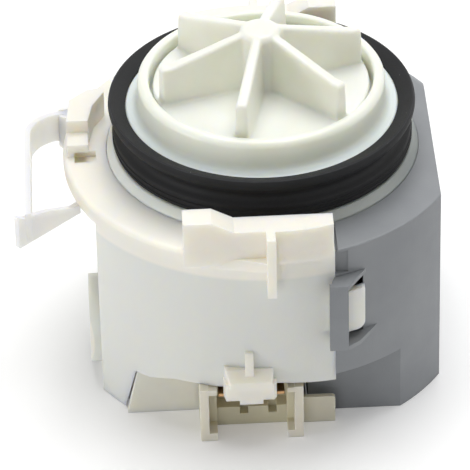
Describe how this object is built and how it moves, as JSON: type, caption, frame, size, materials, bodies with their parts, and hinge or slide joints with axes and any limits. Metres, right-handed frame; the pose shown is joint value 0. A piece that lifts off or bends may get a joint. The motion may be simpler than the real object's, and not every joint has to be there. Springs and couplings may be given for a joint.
{
  "type": "drain pump",
  "caption": "Drain pump with an open radial impeller, a collar and a ring seal on a round snapped-together motor casing with bayonet lugs, a latch loop and a plug socket.",
  "frame": {"origin": "on the pump axis, at the flat base of the casing", "axes": "+Z along the pump axis to the impeller, +X to the grey casing half, -Y to the connector"},
  "size_m": [0.0909, 0.0944, 0.0776],
  "materials": {
    "impeller_plastic": "satin, off-white with a slight green cast",
    "cover_plastic": "satin natural plastic, bluish white where it is thin",
    "seal_rubber": "matt black moulded rubber",
    "white_plastic": "fine matt moulding, cream white",
    "lever_plastic": "fine matt moulding, cream white",
    "grey_plastic": "fine matt moulding, mid grey",
    "connector_plastic": "natural plastic, slightly translucent",
    "tray_plastic": "natural plastic, slightly translucent",
    "terminal_brass": "plain brass",
    "can_plastic": "natural plastic",
    "ring_rubber": "black rubber",
    "shaft_steel": "ground stainless steel",
    "magnet_ferrite": "dark grey ferrite",
    "carrier_plastic": "black plastic",
    "dog_plastic": "white acetal",
    "washer_steel": "stainless steel",
    "bush_graphite": "dark graphite",
    "mount_rubber": "black rubber",
    "core_steel": "stacked electrical sheet",
    "rivet_steel": "bright steel",
    "bobbin_plastic": "natural plastic",
    "winding_copper": "enamelled copper wire",
    "coil_tape": "yellow polyester tape",
    "wire_insulation": "white sleeve",
    "cutout_case": "black case"
  },
  "bodies": {
    "casing": {"pump_cover": "cover_plastic", "cover_seal": "seal_rubber", "white_shell": "white_plastic", "grey_shell": "grey_plastic", "connector_housing": "connector_plastic", "coil_cradle": "tray_plastic", "terminal_left": "terminal_brass", "terminal_right": "terminal_brass", "rotor_can": "can_plastic", "can_o_ring": "ring_rubber", "front_bearing_bush": "bush_graphite", "rear_bearing_bush": "bush_graphite", "front_bearing_mount": "mount_rubber", "rear_bearing_mount": "mount_rubber", "stator_core": "core_steel", "core_rivets": "rivet_steel", "bobbin_front": "bobbin_plastic", "bobbin_rear": "bobbin_plastic", "winding_front": "winding_copper", "winding_rear": "winding_copper", "winding_tape_front": "coil_tape", "winding_tape_rear": "coil_tape", "bridge_wire": "wire_insulation", "lead_wires": "wire_insulation", "thermal_cutout": "cutout_case"},
    "rotor": {"rotor_shaft": "shaft_steel", "rotor_magnet": "magnet_ferrite", "rotor_carrier": "carrier_plastic", "drive_dog": "dog_plastic", "thrust_washers": "washer_steel"},
    "impeller": {"impeller": "impeller_plastic"},
    "latch": {"latch_lever": "lever_plastic"}
  },
  "joints": [
    {"name": "rotor_spin", "type": "hinge", "parent": "casing", "child": "rotor", "pos_m": [0, 0, 0.025], "axis": [0, 0, 1], "continuous": true},
    {"name": "impeller_free_turn", "type": "hinge", "parent": "rotor", "child": "impeller", "pos_m": [0, 0, 0.064], "axis": [0, 0, 1], "range_deg": [-90, 90]},
    {"name": "latch_bend", "type": "hinge", "parent": "casing", "child": "latch", "pos_m": [-0.0422, 0.015, 0.044], "axis": [0, 0, 1], "range_deg": [-4, 4.5], "stiffness_Nm_per_rad": 0.4}
  ]
}
